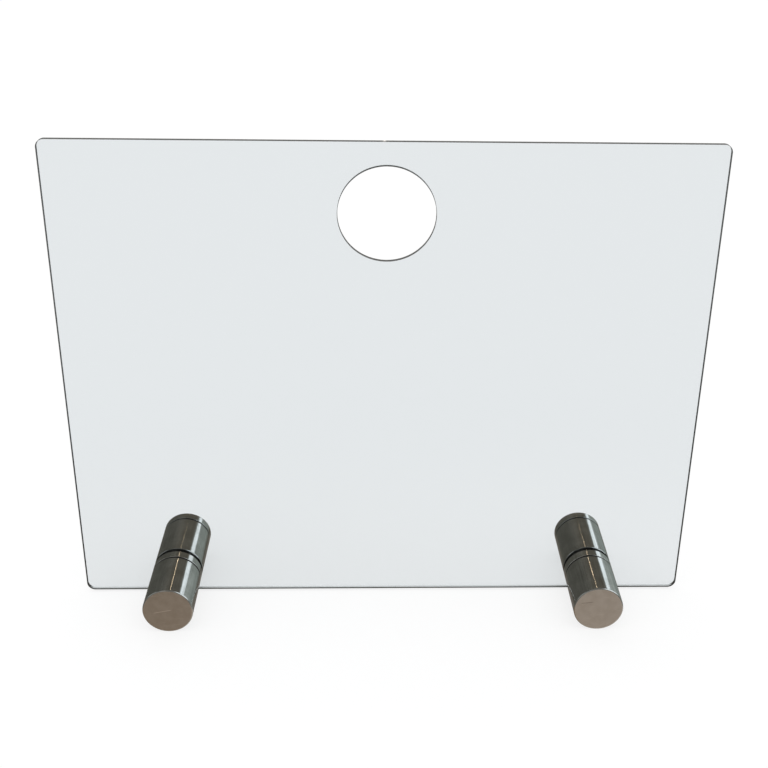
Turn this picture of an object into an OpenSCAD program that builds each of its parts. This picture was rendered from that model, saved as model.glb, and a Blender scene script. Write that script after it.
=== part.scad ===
// Sneeze guard: a clear sheet that stands on two round steel feet.
// The origin is on the counter, under the middle of the sheet. +X is to the right, -Y is the
// front and +Z is up. Each foot runs from front to back through the sheet and is clamped to it
// by a stud. A foot's front and rear halves are the same turned unit: ring, seam, barrel.

/* [Panel] */
// Width of the sheet
panel_w = 610; // [400:5:1200]
// Height of the sheet
panel_h = 475; // [250:5:900]
// Thickness of the sheet
panel_t = 4; // [3:0.5:10]
// Corner radius of the sheet
corner_r = 8; // [2:0.5:40]
// Gap between the counter and the sheet's lower edge
panel_lift = 1.5; // [0.5:0.5:8]

/* [Round hole] */
// Diameter of the hole
hole_d = 88.9; // [40:0.1:110]
// Distance from the sheet's top edge down to the hole's centre
hole_drop = 67; // [60:1:110]

/* [Feet] */
// Distance from the sheet's side edge in to a foot's centre line
foot_inset = 94; // [40:1:150]
// Diameter of the feet
barrel_d = 49; // [30:0.5:80]
// Length of one barrel
barrel_len = 53.5; // [50:0.5:120]
// Radius of the round on a barrel's front edge
barrel_edge_r = 1; // [0.5:0.25:3]
// Length of a ring, which is a collar in front and a cap at the rear
ring_len = 9; // [7:0.5:20]
// Width of the seam between a ring and its barrel
seam_w = 2; // [0.5:0.25:4]
// Depth of the seam below the foot's surface
seam_depth = 1.5; // [0.25:0.25:4]

/* [Clamp] */
// Thread diameter of the studs
stud_d = 10; // [6:1:14]
// Thread pitch of the studs, whose end chamfers are half of it
stud_pitch = 1.5; // [1:0.25:2]
// Length of the clamping stud inside the front barrel
stud_front_grip = 22.9; // [15:0.1:27]
// Length of the clamping stud inside the rear barrel
stud_rear_grip = 22; // [15:0.5:25]
// Length of the cap's stud inside the rear barrel
cap_stud_grip = 16.5; // [10:0.5:20]
// Length of the cap's stud inside the cap
cap_grip = 6; // [3:0.5:6]
// Depth of a tapped bore past its stud's end
bore_spare = 2; // [1:0.5:2]
// Thickness of the gaskets on either side of the sheet
gasket_t = 0.3; // [0.3:0.1:2]
// Distance from the foot's surface in to a gasket's edge
gasket_inset = 0.3; // [0:0.1:3]
// Wall of the bush in the sheet's stud hole
bush_wall = 2; // [1:0.25:4]

/* [Fits] */
// Radial clearance between a stud and a tapped bore
thread_clearance = 0.05; // [0.02:0.01:0.1]
// Radial clearance between a stud and a plain bore
stud_clearance = 0.1; // [0.05:0.01:0.3]
// Radial clearance between a bush and the sheet
bush_clearance = 0.05; // [0.02:0.01:0.2]

/* [Hidden] */
$fn = 96;
OVERCUT = 1;

foot_r = barrel_d / 2;
foot_x = panel_w / 2 - foot_inset;
stud_r = stud_d / 2;
tapped_r = stud_r + thread_clearance;
plain_r = stud_r + stud_clearance;
bush_r = plain_r + bush_wall;
bush_hole_r = bush_r + bush_clearance;
hole_z = panel_lift + panel_h - hole_drop;

// Places along a foot, measured forwards from the middle of the sheet
clamp_face = panel_t / 2 + gasket_t;
unit_len = ring_len + seam_w + barrel_len;
front_unit = clamp_face;
rear_unit = -clamp_face - unit_len;
barrel_offset = ring_len + seam_w;
stud_rear_end = -clamp_face - stud_rear_grip;
stud_front_end = front_unit + barrel_offset + stud_front_grip;
cap_stud_rear_end = rear_unit + ring_len - cap_grip;
cap_stud_front_end = rear_unit + barrel_offset + cap_stud_grip;

LEFT = -1;
RIGHT = 1;

// Places a turned piece on a foot: its own +Z points to the front, along -Y
module on_foot(side) {
    translate([side * foot_x, 0, foot_r]) rotate([90, 0, 0]) children();
}

// A flat ring from height z upwards
module washer(outer_r, inner_r, thickness, z) {
    translate([0, 0, z]) difference() {
        cylinder(h = thickness, r = outer_r);
        translate([0, 0, -OVERCUT]) cylinder(h = thickness + 2 * OVERCUT, r = inner_r);
    }
}

// A round bar of a foot's diameter whose upper edge is rounded
module rounded_bar(length, edge_r) {
    rotate_extrude() {
        square([foot_r, length - edge_r]);
        square([foot_r - edge_r, length]);
        intersection() {
            translate([foot_r - edge_r, length - edge_r]) circle(r = edge_r);
            square([foot_r, length]);
        }
    }
}

// A threaded stud between two heights, drawn at its outer diameter, with chamfered ends
module stud(rear_end, front_end) {
    chamfer = stud_pitch / 2;
    rotate_extrude() polygon([
        [0, rear_end], [stud_r - chamfer, rear_end], [stud_r, rear_end + chamfer],
        [stud_r, front_end - chamfer], [stud_r - chamfer, front_end], [0, front_end]
    ]);
}

// Outline of the sheet in its own plane, with the lower edge's middle at the origin
module panel_outline() {
    flat_w = panel_w - 2 * corner_r;
    flat_h = panel_h - 2 * corner_r;
    translate([-panel_w / 2, corner_r]) square([panel_w, flat_h]);
    translate([-flat_w / 2, 0]) square([flat_w, panel_h]);
    for (x = [-flat_w / 2, flat_w / 2], y = [corner_r, panel_h - corner_r])
        translate([x, y]) circle(r = corner_r);
}

module panel() {
    color([0.8, 0.84, 0.85, 0.5])
        difference() {
            rotate([90, 0, 0])
                linear_extrude(panel_t, center = true)
                    translate([0, panel_lift]) panel_outline();
            translate([0, 0, hole_z]) rotate([90, 0, 0])
                cylinder(h = panel_t + 2 * OVERCUT, d = hole_d, center = true);
            for (side = [LEFT, RIGHT]) on_foot(side)
                cylinder(h = panel_t + 2 * OVERCUT, r = bush_hole_r, center = true);
        }
}

// A bore from the origin upwards
module tapped_bore(depth) {
    translate([0, 0, -OVERCUT]) cylinder(h = depth + OVERCUT, r = tapped_r);
}

module front_barrel(side) {
    color([0.62, 0.61, 0.59]) on_foot(side)
        translate([0, 0, front_unit + barrel_offset]) difference() {
            rounded_bar(barrel_len, barrel_edge_r);
            tapped_bore(stud_front_grip + bore_spare);
        }
}

module rear_barrel(side) {
    color([0.62, 0.61, 0.59]) on_foot(side)
        translate([0, 0, rear_unit + barrel_offset]) difference() {
            rounded_bar(barrel_len, barrel_edge_r);
            tapped_bore(cap_stud_grip + bore_spare);
            translate([0, 0, barrel_len]) mirror([0, 0, 1])
                tapped_bore(stud_rear_grip + bore_spare);
        }
}

module seam_washer(side, unit) {
    color([0.08, 0.08, 0.08]) on_foot(side)
        washer(foot_r - seam_depth, plain_r, seam_w, unit + ring_len);
}

module front_collar(side) {
    color([0.6, 0.6, 0.58]) on_foot(side) washer(foot_r, plain_r, ring_len, front_unit);
}

module rear_cap(side) {
    color([0.6, 0.6, 0.58]) on_foot(side) difference() {
        translate([0, 0, rear_unit]) cylinder(h = ring_len, r = foot_r);
        translate([0, 0, rear_unit + ring_len]) mirror([0, 0, 1]) tapped_bore(cap_grip);
    }
}

// The gasket's rear face is at height z
module gasket(side, z) {
    color([0.05, 0.05, 0.05]) on_foot(side)
        washer(foot_r - gasket_inset, plain_r, gasket_t, z);
}

module panel_bush(side) {
    color([0.9, 0.9, 0.87]) on_foot(side) washer(bush_r, plain_r, panel_t, -panel_t / 2);
}

module clamp_stud(side) {
    color([0.7, 0.7, 0.68]) on_foot(side) stud(stud_rear_end, stud_front_end);
}

module rear_cap_stud(side) {
    color([0.7, 0.7, 0.68]) on_foot(side) stud(cap_stud_rear_end, cap_stud_front_end);
}

panel();
front_barrel(LEFT);  // left_front_barrel
seam_washer(LEFT, front_unit);  // left_front_seam_washer
front_collar(LEFT);  // left_front_collar
gasket(LEFT, panel_t / 2);  // left_front_gasket
panel_bush(LEFT);  // left_panel_bush
clamp_stud(LEFT);  // left_clamp_stud
gasket(LEFT, -clamp_face);  // left_rear_gasket
rear_barrel(LEFT);  // left_rear_barrel
seam_washer(LEFT, rear_unit);  // left_rear_seam_washer
rear_cap(LEFT);  // left_rear_cap
rear_cap_stud(LEFT);  // left_rear_cap_stud
front_barrel(RIGHT);  // right_front_barrel
seam_washer(RIGHT, front_unit);  // right_front_seam_washer
front_collar(RIGHT);  // right_front_collar
gasket(RIGHT, panel_t / 2);  // right_front_gasket
panel_bush(RIGHT);  // right_panel_bush
clamp_stud(RIGHT);  // right_clamp_stud
gasket(RIGHT, -clamp_face);  // right_rear_gasket
rear_barrel(RIGHT);  // right_rear_barrel
seam_washer(RIGHT, rear_unit);  // right_rear_seam_washer
rear_cap(RIGHT);  // right_rear_cap
rear_cap_stud(RIGHT);  // right_rear_cap_stud
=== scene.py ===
# %% [markdown]
# # A clear sneeze guard on two turned steel feet
#
# The object is simple: one clear sheet and two round feet that are clamped through it. It looks
# right only if three finishes are right, which are the clear sheet with its dark polished edge,
# the turned steel, and the black of the seams between them. The sizes come from the packed
# frame, and each piece below stands in for one CAD node with a finer mesh.

# %% Load the frame
import math

import bmesh
import bpy
from mathutils import Matrix, Vector


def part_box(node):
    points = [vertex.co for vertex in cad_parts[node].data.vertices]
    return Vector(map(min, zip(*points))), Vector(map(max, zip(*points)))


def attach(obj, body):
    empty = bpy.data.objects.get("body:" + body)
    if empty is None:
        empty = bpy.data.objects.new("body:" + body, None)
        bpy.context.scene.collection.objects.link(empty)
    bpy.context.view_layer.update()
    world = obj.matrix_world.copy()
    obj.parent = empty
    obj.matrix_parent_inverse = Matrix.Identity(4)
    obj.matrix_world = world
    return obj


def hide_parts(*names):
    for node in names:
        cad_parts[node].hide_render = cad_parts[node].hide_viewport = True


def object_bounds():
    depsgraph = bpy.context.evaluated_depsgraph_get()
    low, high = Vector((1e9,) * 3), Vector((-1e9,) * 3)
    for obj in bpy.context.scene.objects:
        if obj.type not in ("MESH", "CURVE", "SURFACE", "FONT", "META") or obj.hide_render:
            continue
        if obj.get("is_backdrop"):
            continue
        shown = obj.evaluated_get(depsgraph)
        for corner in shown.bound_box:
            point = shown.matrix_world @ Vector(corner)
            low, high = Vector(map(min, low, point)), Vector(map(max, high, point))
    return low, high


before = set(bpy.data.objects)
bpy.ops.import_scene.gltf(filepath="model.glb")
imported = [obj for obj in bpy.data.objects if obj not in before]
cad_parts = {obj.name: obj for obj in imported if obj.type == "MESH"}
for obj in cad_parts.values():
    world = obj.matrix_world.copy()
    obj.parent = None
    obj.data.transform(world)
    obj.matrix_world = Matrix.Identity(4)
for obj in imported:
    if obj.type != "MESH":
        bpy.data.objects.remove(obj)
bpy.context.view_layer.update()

# %% [markdown]
# ## The camera
#
# The view is from a standing person's eye, a little under a metre in front of the guard and
# looking down at it. A slight roll and a small shift give the same framing.

# %% Place the camera
CAMERA_PLACE = (-0.0121, -0.9699, 0.7345)
LOOK_DOWN = math.radians(23.809)
LOOK_RIGHT = math.radians(2.072)
CAMERA_ROLL = math.radians(1.027)
SENSOR_MM = 36.0
LENS_MM = 53.258
LENS_SHIFT = (-0.0347, -0.084)

camera_data = bpy.data.cameras.new("camera")
camera_data.sensor_width = SENSOR_MM
camera_data.lens = LENS_MM
camera_data.shift_x, camera_data.shift_y = LENS_SHIFT
camera = bpy.data.objects.new("camera", camera_data)
bpy.context.scene.collection.objects.link(camera)
turn = Matrix.Rotation(-LOOK_RIGHT, 4, "Z")
tilt = Matrix.Rotation(math.pi / 2 - LOOK_DOWN, 4, "X")
roll = Matrix.Rotation(CAMERA_ROLL, 4, "Z")
camera.matrix_world = Matrix.Translation(CAMERA_PLACE) @ turn @ tilt @ roll
bpy.context.scene.camera = camera
print("camera at", CAMERA_PLACE)

# %% [markdown]
# ## Shader maths as Python
#
# Node trees are easier to read as formulas. This small class wraps an output socket, so that
# `1 - mask` or `noise * 0.2 + 0.4` adds the Math nodes that it says.

# %% A socket that does arithmetic
class Sock:
    def __init__(self, tree, socket):
        self.tree = tree
        self.socket = socket

    def node(self, kind, inputs=(), out=0, **settings):
        """Adds a node, sets its settings first and its inputs after, and returns an output."""
        new = self.tree.nodes.new(kind)
        for name, value in settings.items():
            setattr(new, name, value)
        for key, value in dict(inputs).items():
            if isinstance(value, Sock):
                self.tree.links.new(value.socket, new.inputs[key])
            else:
                new.inputs[key].default_value = value
        return Sock(self.tree, new.outputs[out]) if new.outputs else None

    def math(self, operation, *values):
        return self.node("ShaderNodeMath", enumerate(values), operation=operation)

    def vector(self, operation, *values, out=0):
        return self.node("ShaderNodeVectorMath", enumerate(values), out, operation=operation)

    def __add__(self, other):
        return self.math("ADD", self, other)

    def __sub__(self, other):
        return self.math("SUBTRACT", self, other)

    def __rsub__(self, other):
        return self.math("SUBTRACT", other, self)

    def __mul__(self, other):
        return self.math("MULTIPLY", self, other)

    __radd__ = __add__
    __rmul__ = __mul__

    def axis(self, name):
        return self.node("ShaderNodeSeparateXYZ", {0: self}, name)

    def step(self, low, high):
        """0 below low, 1 above high and smooth between them, or the reverse if low is larger."""
        mapped = {0: self, 1: min(low, high), 2: max(low, high)}
        ends = {3: 0.0, 4: 1.0} if low < high else {3: 1.0, 4: 0.0}
        return self.node("ShaderNodeMapRange", {**mapped, **ends}, interpolation_type="SMOOTHSTEP")

    def blend(self, first, second):
        """Mixes two colours by this value."""
        pair = {"A": first, "B": second}
        mix = self.tree.nodes.new("ShaderNodeMix")
        mix.data_type = "RGBA"
        self.tree.links.new(self.socket, mix.inputs["Factor"])
        for key, colour in pair.items():
            socket = next(s for s in mix.inputs if s.name == key and s.type == "RGBA")
            if isinstance(colour, Sock):
                self.tree.links.new(colour.socket, socket)
            else:
                socket.default_value = (*colour, 1)
        return Sock(self.tree, next(s for s in mix.outputs if s.type == "RGBA"))


def start(tree):
    """An empty tree's Sock, to call node() on."""
    tree.nodes.clear()
    return Sock(tree, None)


# %% [markdown]
# ## Floor and room
#
# Polished steel shows the room and not itself. A white studio would turn the feet white, so the
# light is split in two. The floor, the background and the soft light are pale, and mirror-like
# rays see a plain dim room: dark walls, a brown counter, and openings that each give the steel
# one bright stripe. Real walls and lamps would do it too, but a few soft rectangles are easier to
# move until every stripe sits where it should. The floor is kept out of the mirror rays for the
# same reason. Directions are in degrees: heading 0 is straight behind the guard and 90 is to its
# right, and elevation 0 is level.

# %% The room and the soft light
SOFT_LIGHT = 1.13
WALL_LEFT = (0.115, 0.112, 0.095)
WALL_BACK = (0.150, 0.138, 0.112)
WALL_RIGHT = (0.36, 0.40, 0.375)
WALL_FRONT = (0.20, 0.205, 0.195)
CEILING = (0.22, 0.21, 0.19)
COUNTER_LEFT = (0.31, 0.23, 0.155)
COUNTER_RIGHT = (0.67, 0.60, 0.53)
COUNTER_BACK = (0.19, 0.175, 0.155)
BIG_WINDOW = (1.25, 1.36, 1.42)
TALL_WINDOW = (1.45, 1.56, 1.62)
CURTAIN = (0.55, 0.60, 0.57)
FRAME_BAR = (0.19, 0.21, 0.20)
DOORWAY = (0.50, 0.52, 0.51)
LAMP = (9.0, 6.8, 4.6)
TUBE = (4.5, 4.2, 3.8)

world = bpy.data.worlds.new("room")
bpy.context.scene.world = world
world.use_nodes = True
sky = start(world.node_tree)
direction = sky.node("ShaderNodeTexCoord", out="Generated")
across, depth, height = (direction.axis(name) for name in "XYZ")
heading = across.math("ARCTAN2", across, depth) * math.degrees(1)
elevation = height.math("ARCSINE", height) * math.degrees(1)


def patch(low_heading, high_heading, low_elevation, high_elevation, soft):
    """1 inside a soft-edged rectangle of the room, in degrees."""
    sides = heading.step(low_heading - soft, low_heading + soft)
    sides = sides * heading.step(high_heading + soft, high_heading - soft)
    rise = elevation.step(low_elevation - soft, low_elevation + soft)
    return sides * rise * elevation.step(high_elevation + soft, high_elevation - soft)


# Walls from left to right, then the front, the ceiling and the counter
room = heading.step(-34.0, -8.0).blend(WALL_LEFT, WALL_BACK)
room = (heading.step(24.0, 33.0) * elevation.step(30.0, 18.0)).blend(room, WALL_RIGHT)
room = depth.step(0.1, -0.4).blend(room, WALL_FRONT)
room = elevation.step(52.0, 66.0).blend(room, CEILING)
counter = across.step(-0.35, 0.35).blend(COUNTER_LEFT, COUNTER_RIGHT)
counter = depth.step(-0.1, 0.3).blend(counter, COUNTER_BACK)
room = elevation.step(-28.0, -36.0).blend(room, counter)
# Each patch is its left and right heading, lowest and highest elevation, and softness
openings = (
    (patch(50.0, 150.0, 6.0, 58.0, 5.0), BIG_WINDOW),
    (patch(29.5, 36.3, 11.0, 23.5, 1.2), TALL_WINDOW),
    (patch(37.5, 43.0, -10.0, 32.0, 1.0), CURTAIN),
    (patch(44.5, 49.5, -25.0, 32.0, 1.2), FRAME_BAR),
    (patch(-125.0, -70.0, 4.0, 40.0, 6.0), DOORWAY),
    (patch(-170.0, -152.0, 2.0, 40.0, 3.0), DOORWAY),
    (patch(0.8, 2.0, 37.0, 37.8, 0.35), LAMP),
    (patch(0.5, 0.6, 10.0, 17.0, 0.06), TUBE),
)
for opening, colour in openings:
    room = opening.blend(room, colour)

seen_by_gloss = sky.node("ShaderNodeLightPath", out="Is Glossy Ray")
light = seen_by_gloss.blend((SOFT_LIGHT,) * 3, room)
background = sky.node("ShaderNodeBackground", {"Color": light, "Strength": 1.0})
sky.node("ShaderNodeOutputWorld", {"Surface": background})
print("room made with", len(openings), "openings, soft light", SOFT_LIGHT)

# %% A pale floor
FLOOR_HALF = 20.0
FLOOR_WHITE = (0.9, 0.9, 0.9)
FLOOR_GLOW = 1.02
GLOW_SHARE = 0.75

shape = bmesh.new()
bmesh.ops.create_grid(shape, x_segments=1, y_segments=1, size=FLOOR_HALF)
floor_mesh = bpy.data.meshes.new("floor")
shape.to_mesh(floor_mesh)
shape.free()
floor = bpy.data.objects.new("floor", floor_mesh)
bpy.context.scene.collection.objects.link(floor)
floor.visible_glossy = False
floor_paint = bpy.data.materials.new("floor_paint")
floor_paint.use_nodes = True
paint = start(floor_paint.node_tree)
matt = paint.node("ShaderNodeBsdfDiffuse", {"Color": (*FLOOR_WHITE, 1)})
glow = paint.node("ShaderNodeEmission", {"Strength": FLOOR_GLOW})
mixed = paint.node("ShaderNodeMixShader", {0: GLOW_SHARE, 1: matt, 2: glow})
paint.node("ShaderNodeOutputMaterial", {"Surface": mixed})
floor.data.materials.append(floor_paint)
floor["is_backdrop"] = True
bpy.context.scene.view_settings.view_transform = "Standard"
print("floor", 2 * FLOOR_HALF, "m square")

# %% [markdown]
# ## Finishes
#
# A real foot is turned on a lathe and then polished. The tool leaves very fine lines round the
# bar, and they smear every reflection along the bar and leave it sharp round the bar. A bump
# would have to be finer than the render can show. So the lines tilt the surface's own normal a
# little along Y, which gives that smear at any distance.

# %% Helpers for finishes
def finish(name):
    """A new material, the Sock to call node() on, and each point's place in metres."""
    material = bpy.data.materials.new(name)
    material.use_nodes = True
    tree = start(material.node_tree)
    return material, tree, tree.node("ShaderNodeTexCoord", out="Object")


def cloud(place, spots, detail=2.0):
    """Noise from 0 to 1 with this many spots to a metre in X, Y and Z."""
    scaled = place.vector("MULTIPLY", place, spots)
    return place.node("ShaderNodeTexNoise", {"Vector": scaled, "Detail": detail, "Scale": 1.0})


def coat_with(tree, **inputs):
    """Ends a material with one Principled shader that has these inputs."""
    named = {name.replace("_", " "): value for name, value in inputs.items()}
    shader = tree.node("ShaderNodeBsdfPrincipled", named)
    tree.node("ShaderNodeOutputMaterial", {"Surface": shader})


# %% Turned steel
STEEL_DULL = (0.455, 0.447, 0.425)
STEEL_CLEAN = (0.640, 0.633, 0.615)
LATHE_LINES = (30, 2600, 30)
LINES_TILT = 0.06
POLISHING_WAVES = (420, 60, 420)
WAVES_TILT = 0.035
WORN_SPOTS = (70, 70, 70)
WIPING_STREAKS = (900, 25, 900)
WORN_SHARE = 0.45
SMOOTHEST, WORN_ROUGHER = 0.07, 0.04

turned_steel, tree, place = finish("turned_steel")
lines = cloud(place, LATHE_LINES)
waves = cloud(place, POLISHING_WAVES)
wear = cloud(place, WORN_SPOTS, 4.0)
sway = (waves - 0.5) * WAVES_TILT
tilt = tree.node("ShaderNodeCombineXYZ", {"X": sway, "Y": (lines - 0.5) * LINES_TILT, "Z": sway})
facing = tree.node("ShaderNodeNewGeometry", out="Normal")
leaning = tree.vector("NORMALIZE", tree.vector("ADD", facing, tilt))
streaks = cloud(place, WIPING_STREAKS, 3.0)
worn = wear.step(0.35, 0.65) * WORN_SHARE + streaks.step(0.3, 0.7) * (1 - WORN_SHARE)
colour = worn.blend(STEEL_DULL, STEEL_CLEAN)
rough = wear.step(0.4, 0.8) * WORN_ROUGHER + SMOOTHEST
coat_with(tree, Base_Color=colour, Metallic=1.0, Roughness=rough, Normal=leaning)
print("turned steel made")

# %% [markdown]
# The flat ends are faced off with the tool moving inwards, which leaves rings, and they are not
# polished. The ends also meet trays and boxes, so they have fine scratches and a longer one
# each. The hidden faces beside the seams are the same, but their rims are painted nearly black
# as painted shade, which is why a seam looks black from every side.

# %% Faced steel, for the flat ends
MM = 0.001
FACED_DULL = (0.50, 0.46, 0.42)
FACED_CLEAN = (0.60, 0.56, 0.52)
SCRATCHED = (0.86, 0.82, 0.78)
GOUGED = (0.20, 0.17, 0.14)
SEAM_PAINTED_SHADE = (0.012, 0.012, 0.011)
OPEN_ENDS = 62 * MM
SEAM_SHADE_WIDTH = 2 * MM
STAINS = (120, 120, 120)
RINGS_TO_A_METRE = 2200
SCRATCHES_TO_A_METRE = 1100
SCRATCH_TURNS = ((0.1, 30), (-0.5, 45), (1.2, 60))
LONG_SCRATCH_WIDTH = 0.5 * MM

box_low, box_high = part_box("right_front_barrel")
foot_x = (box_low.x + box_high.x) / 2
foot_z = (box_low.z + box_high.z) / 2
foot_radius = (box_high.x - box_low.x) / 2

faced_steel, tree, place = finish("faced_steel")
sideways = tree.math("ABSOLUTE", place.axis("X")) - foot_x
upwards = place.axis("Z") - foot_z
from_axis = tree.math("SQRT", sideways * sideways + upwards * upwards)
outwards = {"W": from_axis * RINGS_TO_A_METRE, "Scale": 1.0}
rings = tree.node("ShaderNodeTexNoise", outwards, noise_dimensions="1D")
stains = cloud(place, STAINS, 5.0)
scratches = 0.0
for turned_by, reach in SCRATCH_TURNS:
    size = (reach, 0, SCRATCHES_TO_A_METRE)
    lay = {"Vector": place, "Rotation": (0, turned_by, 0), "Scale": size}
    across_grain = tree.node("ShaderNodeMapping", lay)
    noise = tree.node("ShaderNodeTexNoise", {"Vector": across_grain, "Scale": 1.0})
    scratches = noise.step(0.66, 0.74) + scratches


def long_scratch(x, z, length, turned_by):
    """1 on one straight scratch, given by its middle, and 0 elsewhere."""
    run_x, run_z = place.axis("X") - x, place.axis("Z") - z
    run = run_x * math.cos(turned_by) + run_z * math.sin(turned_by)
    off = run_z * math.cos(turned_by) - run_x * math.sin(turned_by)
    reach = tree.math("ABSOLUTE", run).step(length / 2, length / 3)
    from_line = tree.math("ABSOLUTE", off)
    return reach * from_line.step(LONG_SCRATCH_WIDTH, LONG_SCRATCH_WIDTH / 3)


bright_line = long_scratch(-foot_x - 5 * MM, foot_z - 0.5 * MM, 20 * MM, 0.2)
dark_line = long_scratch(foot_x - 12 * MM, foot_z + 7.5 * MM, 13 * MM, 0.1)
colour = (stains.step(0.3, 0.7) * 0.7 + rings * 0.3).blend(FACED_DULL, FACED_CLEAN)
colour = (scratches * 0.3).blend(colour, SCRATCHED)
colour = (bright_line * 0.8).blend(colour, SCRATCHED)
colour = (dark_line * 0.65).blend(colour, GOUGED)
# Only a foot's two outer faces are farther from the sheet than OPEN_ENDS
at_seam = tree.math("ABSOLUTE", place.axis("Y")).step(OPEN_ENDS + MM, OPEN_ENDS)
# Painted shade: the rims of the faces beside the seams are painted nearly black, duller and not
# metallic
seam_shade = at_seam * from_axis.step(foot_radius - SEAM_SHADE_WIDTH, foot_radius - SEAM_SHADE_WIDTH * 0.8)
colour = seam_shade.blend(colour, SEAM_PAINTED_SHADE)
rough = rings * 0.12 + stains * 0.1 + 0.22 + seam_shade * 0.3
coat_with(tree, Base_Color=colour, Metallic=1 - seam_shade, Roughness=rough)
print("faced steel made for feet at x", round(foot_x, 4))

# %% [markdown]
# The parts inside show only when a foot is unscrewed. The studs are plain bright steel, the
# washers and gaskets are matt black rubber that hardly shines, and the bush is milky nylon. A
# cloud of small spots in colour and roughness is enough for each.

# %% Stud steel, black rubber and white nylon
STUD_SPOTS = (300, 300, 300)
STUD_DULL, STUD_BRIGHT = (0.52, 0.52, 0.51), (0.68, 0.68, 0.66)
RUBBER_DUST = (400, 400, 400)
RUBBER_CLEAN, RUBBER_DUSTY = (0.003, 0.003, 0.003), (0.010, 0.010, 0.009)
RUBBER_SHINE = 0.2
NYLON_FLOW = (250, 250, 250)
NYLON_WARM, NYLON_PALE = (0.74, 0.73, 0.68), (0.82, 0.81, 0.77)

stud_steel, tree, place = finish("stud_steel")
dull = cloud(place, STUD_SPOTS, 3.0)
colour = dull.blend(STUD_DULL, STUD_BRIGHT)
coat_with(tree, Base_Color=colour, Metallic=1.0, Roughness=dull * 0.2 + 0.2)

black_rubber, tree, place = finish("black_rubber")
dust = cloud(place, RUBBER_DUST, 4.0)
grain = tree.node("ShaderNodeBump", {"Height": dust, "Strength": 0.3, "Distance": 0.1 * MM})
colour = dust.step(0.4, 0.9).blend(RUBBER_CLEAN, RUBBER_DUSTY)
coat_with(tree, Base_Color=colour, Roughness=dust * 0.3 + 0.6, Normal=grain,
          Specular_IOR_Level=RUBBER_SHINE)

white_nylon, tree, place = finish("white_nylon")
cast = cloud(place, NYLON_FLOW, 3.0)
colour = cast.blend(NYLON_WARM, NYLON_PALE)
coat_with(tree, Base_Color=colour, Roughness=cast * 0.2 + 0.35)
print("stud steel, rubber and nylon made")

# %% [markdown]
# ## The clear sheet's finish
#
# Real acrylic bends light, and a path tracer then needs many bounces and gives noisy shadows.
# The sheet is flat, so bending moves what is behind it by only a millimetre. Each of its two
# faces is therefore a tint that light goes straight through, with a thin mirror on top that
# grows stronger as the view becomes more slanting. The cut edge and its eased corners send
# light sideways and look dark, so they are a solid glossy grey, painted lighter towards the top
# as painted light. The lower edge is duller, because it is left as the saw made it. A real
# sheet would show only its front strip from above, as bent light hides the rest, so the back
# of the lower edge is pale.

# %% Clear faces and polished edge
FACE_TINT = (0.902, 0.920, 0.929)
MIRROR_HEAD_ON = 0.04
EDGE_LOW = (0.016, 0.017, 0.016)
EDGE_HIGH = (0.135, 0.136, 0.134)
EDGE_BACK = (0.80, 0.82, 0.82)
EDGE_PAINTED_LIGHT_RISE = (0.0, 0.42)
SAW_MARKS_END = (0.33, 0.2)
BOTTOM = (4 * MM, 2 * MM)
DARK_STRIP_ENDS = (-0.3 * MM, 0.9 * MM)
WIPED_SPOTS = (8, 8, 20)
POLISH_LINES = (60, 900, 60)
ACRYLIC_IOR = 1.49

clear_face, tree, place = finish("clear_face")
slant = tree.node("ShaderNodeLayerWeight", {"Blend": 0.5}, "Facing")
mirror_share = tree.math("POWER", slant, 5.0) * (1 - MIRROR_HEAD_ON) + MIRROR_HEAD_ON
wiped = cloud(place, WIPED_SPOTS, 3.0)
through = tree.node("ShaderNodeBsdfTransparent", {"Color": (*FACE_TINT, 1)})
gloss = {"Color": (1, 1, 1, 1), "Roughness": wiped.step(0.45, 0.8) * 0.04 + 0.02}
mirror = tree.node("ShaderNodeBsdfGlossy", gloss)
mixed = tree.node("ShaderNodeMixShader", {0: mirror_share, 1: through, 2: mirror})
tree.node("ShaderNodeOutputMaterial", {"Surface": mixed})

polished_edge, tree, place = finish("polished_edge")
polish = cloud(place, POLISH_LINES, 3.0)
high = place.axis("Z")
# Painted light: the edge's grey is painted lighter towards the top of the sheet
colour = (high.step(*EDGE_PAINTED_LIGHT_RISE) * 0.85 + polish * 0.15).blend(EDGE_LOW, EDGE_HIGH)
under = high.step(*BOTTOM) * place.axis("Y").step(*DARK_STRIP_ENDS)
colour = under.blend(colour, EDGE_BACK)
rough = high.step(*SAW_MARKS_END) * 0.4 + polish * 0.03 + 0.02
coat_with(tree, Base_Color=colour, Roughness=rough, IOR=ACRYLIC_IOR)
print("clear sheet made, tint of one face", FACE_TINT)

# %% [markdown]
# ## Turned pieces
#
# Every round piece comes off a lathe, so each one is made as a lathe makes it: half an outline,
# turned about the foot's axis. The outline has only its corners. The outer corners are rounded
# afterwards with a bevel, and two extra points beside each one keep the flats flat, because
# smooth shading would otherwise spread the corner's slope over the whole piece.

# %% Read the turned sizes from the frame
def ends(kind):
    """The radius of a turned node and its front and rear places along Y."""
    low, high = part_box("left_" + kind)
    return (high.x - low.x) / 2, low.y, high.y


stud_front, stud_rear = ends("clamp_stud")[1:]
cap_stud_front, cap_stud_rear = ends("rear_cap_stud")[1:]
print("foot radius", round(foot_radius / MM, 3), "mm, clamp stud",
      round((stud_rear - stud_front) / MM, 2), "mm long")

# %% Turn an outline on the lathe
TURN_STEPS = 128
ROUND_STEPS = 4
SUPPORT = 1.25
MERGE = 0.001 * MM


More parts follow.
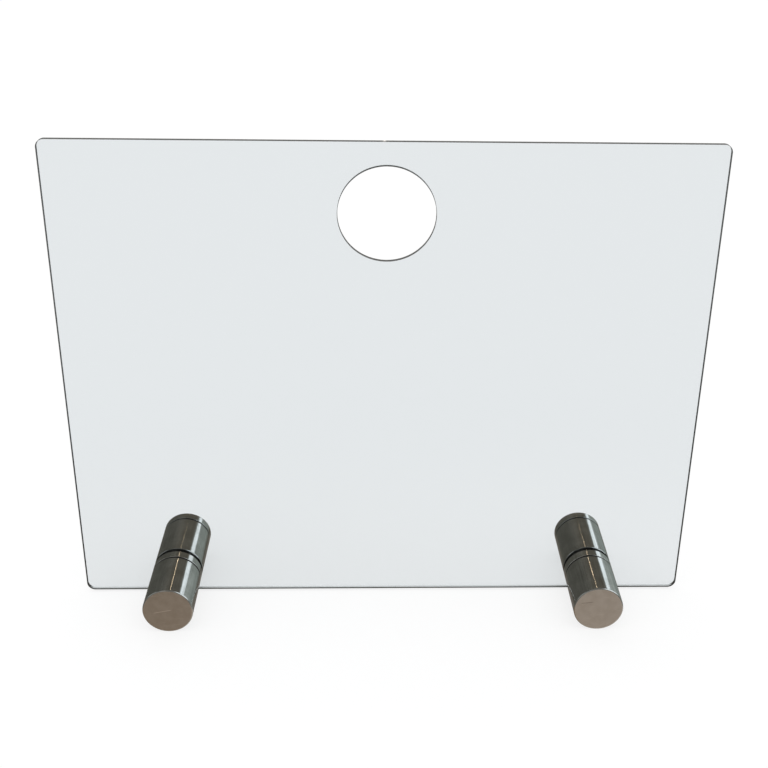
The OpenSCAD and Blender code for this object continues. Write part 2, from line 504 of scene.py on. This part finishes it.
def spin_outline(corners, closed):
    """Turns (radius, place along Y, round) corners about the Y axis and rounds the corners."""
    shape = bmesh.new()
    points = []
    count = len(corners)
    for i, (radius, y, round_off) in enumerate(corners):
        here = Vector((radius, y, 0))
        if not round_off:
            points.append(here)
            continue
        before = Vector((*corners[i - 1][:2], 0))
        after = Vector((*corners[(i + 1) % count][:2], 0))
        reach = SUPPORT * round_off
        points += [here + (before - here).normalized() * reach, here]
        points.append(here + (after - here).normalized() * reach)
    verts = [shape.verts.new(point) for point in points]
    for first, second in zip(verts, verts[1:]):
        shape.edges.new((first, second))
    if closed:
        shape.edges.new((verts[-1], verts[0]))
    bmesh.ops.spin(shape, geom=shape.verts[:] + shape.edges[:], cent=(0, 0, 0), axis=(0, 1, 0),
                   angle=math.tau, steps=TURN_STEPS, use_merge=True)
    bmesh.ops.remove_doubles(shape, verts=shape.verts, dist=MERGE)
    bmesh.ops.recalc_face_normals(shape, faces=shape.faces)
    for radius, y, round_off in corners:
        if round_off:
            on_corner = {v for v in shape.verts if abs(v.co.y - y) < MERGE
                         and abs(math.hypot(v.co.x, v.co.z) - radius) < MERGE}
            rim = [e for e in shape.edges if on_corner.issuperset(e.verts)]
            bmesh.ops.bevel(shape, geom=rim, offset=round_off, segments=ROUND_STEPS,
                            affect="EDGES", profile=0.5, material=-1)
    return shape


# %% [markdown]
# The two barrels have blind tapped bores for the studs. The collar, the washers, the gaskets
# and the bush are rings with a plain hole. The outlines go round each piece in order.

# %% Outlines of the turned pieces
TAPPED_BORE = 5.05 * MM
PLAIN_BORE = 5.1 * MM
BORE_SPARE = 2 * MM
FRONT_ROUND = 1 * MM
EASED = 0.3 * MM
CAP_ROUND = 0.8 * MM


def end_outline(bottom, mouth):
    """An end's outline from the axis outwards: flat, or a tapped bore down to its bottom."""
    if bottom is None:
        return [(0, mouth, 0)]
    return [(0, bottom, 0), (TAPPED_BORE, bottom, 0), (TAPPED_BORE, mouth, EASED)]


def bar(kind, front_bottom, rear_bottom, front_round, rear_round):
    """A solid bar, given by the places of its bores' bottoms and the rounds on its edges."""
    radius, front, rear = ends(kind)
    outside = [(radius, front, front_round), (radius, rear, rear_round)]
    rear_end = end_outline(rear_bottom, rear)
    return end_outline(front_bottom, front) + outside + rear_end[::-1], False


def ring(kind, eased):
    """A ring with a plain hole, which is a closed outline."""
    radius, front, rear = ends(kind)
    outline = [(PLAIN_BORE, front, 0), (radius, front, eased)]
    return outline + [(radius, rear, eased), (PLAIN_BORE, rear, 0)], True


front_bore = stud_front - BORE_SPARE
middle_bore = stud_rear + BORE_SPARE
rear_bore = cap_stud_front - BORE_SPARE
outlines = {
    "front_barrel": bar("front_barrel", None, front_bore, FRONT_ROUND, EASED),
    "front_seam_washer": ring("front_seam_washer", 0),
    "front_collar": ring("front_collar", EASED),
    "front_gasket": ring("front_gasket", 0),
    "panel_bush": ring("panel_bush", 0),
    "rear_gasket": ring("rear_gasket", 0),
    "rear_barrel": bar("rear_barrel", middle_bore, rear_bore, FRONT_ROUND, EASED),
    "rear_seam_washer": ring("rear_seam_washer", 0),
    "rear_cap": bar("rear_cap", cap_stud_rear, None, EASED, CAP_ROUND),
}
print(len(outlines), "turned outlines")

# %% [markdown]
# ## Threaded studs
#
# A thread is one small outline, a pitch long, that turns and climbs at the same time. Spin does
# that with its step along the axis. After one turn the top of the strip meets its own bottom,
# so copies of that turn, doubled until they are long enough, join up into the whole thread. It
# starts and ends past the stud, and two flat cuts give clean ends.

# %% Wind a right-hand thread
PITCH = 1.5 * MM
STEPS_A_TURN = 36
ROOT_DEPTH = 0.92 * MM
ROOT_SHARE, FLANK_SHARE, CREST_SHARE = 1 / 4, 5 / 16, 1 / 8
TURNS_SPARE = 1.5


def threaded(kind):
    """A stud with a real thread and chamfered ends, made about the Y axis."""
    radius, front, rear = ends(kind)
    root = radius - ROOT_DEPTH
    shape = bmesh.new()
    y = front - TURNS_SPARE * PITCH
    verts = [shape.verts.new((root, y, 0))]
    for share, reach in ((ROOT_SHARE, root), (FLANK_SHARE, radius), (CREST_SHARE, radius),
                         (FLANK_SHARE, root)):
        y += share * PITCH
        verts.append(shape.verts.new((reach, y, 0)))
        shape.edges.new(verts[-2:])
    bmesh.ops.spin(shape, geom=shape.verts[:] + shape.edges[:], cent=(0, 0, 0), axis=(0, 1, 0),
                   angle=math.tau, steps=STEPS_A_TURN, dvec=(0, PITCH / STEPS_A_TURN, 0))
    turns = 1
    while turns * PITCH < rear - front + 2 * PITCH:
        everything = shape.verts[:] + shape.edges[:] + shape.faces[:]
        copied = bmesh.ops.duplicate(shape, geom=everything)["geom"]
        moved = [v for v in copied if isinstance(v, bmesh.types.BMVert)]
        bmesh.ops.translate(shape, vec=(0, turns * PITCH, 0), verts=moved)
        turns *= 2
    bmesh.ops.remove_doubles(shape, verts=shape.verts, dist=MERGE * 5)
    for cut, outwards in ((front, -1), (rear, 1)):
        everything = shape.verts[:] + shape.edges[:] + shape.faces[:]
        bmesh.ops.bisect_plane(shape, geom=everything, plane_co=(0, cut, 0),
                               plane_no=(0, outwards, 0), clear_outer=True, dist=MERGE)
    bmesh.ops.holes_fill(shape, edges=shape.edges)
    for v in shape.verts:
        inside = min(v.co.y - front, rear - v.co.y)
        limit = radius - PITCH / 2 + max(inside, 0)
        size = math.hypot(v.co.x, v.co.z)
        if size > limit:
            v.co.x *= limit / size
            v.co.z *= limit / size
    return shape


# %% [markdown]
# Every piece ends the same way. Its doubles are merged and its normals turned outwards first.
# Then faces that meet at less than about 32 degrees are shaded as one curve, which keeps a turned
# side smooth and a cut edge crisp.

# %% Make a bmesh a piece of the object
SMOOTH_UNDER = math.radians(32)


def make_piece(shape, name, finishes, body, node):
    """Closes and smooths a bmesh, gives it its finishes and hands it to the frame."""
    bmesh.ops.remove_doubles(shape, verts=shape.verts, dist=MERGE)
    bmesh.ops.recalc_face_normals(shape, faces=shape.faces)
    mesh = bpy.data.meshes.new(name)
    shape.to_mesh(mesh)
    shape.free()
    mesh.shade_smooth()
    mesh.set_sharp_from_angle(angle=SMOOTH_UNDER)
    for material in finishes:
        mesh.materials.append(material)
    piece = bpy.data.objects.new(name, mesh)
    bpy.context.scene.collection.objects.link(piece)
    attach(piece, body)
    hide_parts(node)
    return piece


# %% [markdown]
# ## The sheet
#
# The sheet starts as its outline: a rectangle whose corners are bevelled round, and circles for
# the holes. One fill makes the face, one extrude gives the thickness, and a small bevel eases
# every edge, as sandpaper does on a real one so that it doesn't cut fingers.

# %% Cut and ease the sheet
CORNER_ROUND = 8 * MM
CORNER_STEPS = 16
HOLE_R = 44.45 * MM
HOLE_DROP = 67 * MM
HOLE_STEPS = 160
STUD_HOLE_R = 7.15 * MM
SHEET_EASED = 0.4 * MM
STUD_HOLE_STEPS = 48
CORNER_ANGLE = math.radians(80)
FLAT = 0.99


def cut_sheet():
    """The sheet in its place, with clear faces as material 0 and its cut edges as 1."""
    low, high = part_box("panel")
    middle = (low + high) / 2
    half = (high - low) / 2
    stand_up = Matrix.Rotation(math.pi / 2, 4, "X")
    shape = bmesh.new()
    bmesh.ops.create_grid(shape, x_segments=1, y_segments=1, size=1.0)
    bmesh.ops.scale(shape, vec=(half.x, half.z, 1), verts=shape.verts)
    bmesh.ops.bevel(shape, geom=shape.verts[:], offset=CORNER_ROUND, segments=CORNER_STEPS,
                    affect="VERTICES", profile=0.5, material=-1)
    bmesh.ops.delete(shape, geom=shape.faces[:], context="FACES_ONLY")
    bmesh.ops.transform(shape, matrix=Matrix.Translation(middle) @ stand_up, verts=shape.verts)
    stud_holes = [(side * foot_x, foot_z, STUD_HOLE_R, STUD_HOLE_STEPS) for side in (-1, 1)]
    for x, z, radius, steps in [(0, high.z - HOLE_DROP, HOLE_R, HOLE_STEPS), *stud_holes]:
        at = Matrix.Translation((x, middle.y, z)) @ stand_up
        bmesh.ops.create_circle(shape, cap_ends=False, radius=radius, segments=steps, matrix=at)
    bmesh.ops.triangle_fill(shape, use_beauty=True, edges=shape.edges[:], normal=(0, -1, 0))
    bmesh.ops.translate(shape, vec=(0, -half.y, 0), verts=shape.verts)
    grown = bmesh.ops.extrude_face_region(shape, geom=shape.faces[:])["geom"]
    moved = [v for v in grown if isinstance(v, bmesh.types.BMVert)]
    bmesh.ops.translate(shape, vec=(0, 2 * half.y, 0), verts=moved)
    bmesh.ops.recalc_face_normals(shape, faces=shape.faces)
    corners = [e for e in shape.edges if e.calc_face_angle(0) > CORNER_ANGLE]
    bmesh.ops.bevel(shape, geom=corners, offset=SHEET_EASED, segments=1, affect="EDGES",
                    profile=0.5, material=-1)
    shape.normal_update()
    for face in shape.faces:
        face.material_index = 0 if abs(face.normal.y) > FLAT else 1
    return shape


sheet_finishes = (clear_face, polished_edge)
sheet = make_piece(cut_sheet(), "clear_sheet", sheet_finishes, "guard", "panel")
print("sheet has", len(sheet.data.polygons), "faces")

# %% [markdown]
# ## Both feet
#
# The left and right foot are the same pieces on the same studs. Each row says which finish a
# piece has and which body carries it, so that the barrels can be unscrewed.

# %% Put the pieces on the studs
STEEL = ((turned_steel, faced_steel), "turned_steel")
RUBBER = ((black_rubber,), "black_rubber")
rows = (
    ("front_barrel", STEEL, "{side}_front_foot"),
    ("front_seam_washer", RUBBER, "{side}_front_rings"),
    ("front_collar", STEEL, "{side}_front_rings"),
    ("front_gasket", RUBBER, "{side}_front_rings"),
    ("panel_bush", ((white_nylon,), "white_nylon"), "guard"),
    ("clamp_stud", ((stud_steel,), "stud_steel"), "guard"),
    ("rear_gasket", RUBBER, "guard"),
    ("rear_barrel", STEEL, "guard"),
    ("rear_seam_washer", RUBBER, "{side}_rear_ring"),
    ("rear_cap", STEEL, "{side}_rear_end"),
    ("rear_cap_stud", ((stud_steel,), "stud_steel"), "{side}_rear_end"),
)
faces = 0
for side, x in (("left", -foot_x), ("right", foot_x)):
    for kind, (finishes, slot), body in rows:
        shape = threaded(kind) if kind not in outlines else spin_outline(*outlines[kind])
        for face in shape.faces:
            if len(finishes) > 1 and abs(face.normal.y) > FLAT:
                face.material_index = 1
        bmesh.ops.translate(shape, vec=(x, 0, foot_z), verts=shape.verts)
        node = f"{side}_{kind}"
        piece = make_piece(shape, node + "_piece", finishes, body.format(side=side), node)
        faces += len(piece.data.polygons)
print("two feet of", len(rows), "pieces each,", faces, "faces together")

# %% Print the visual box and finish
low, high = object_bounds()
print("visual box in metres:", [round(v, 4) for v in (*low, *high)])
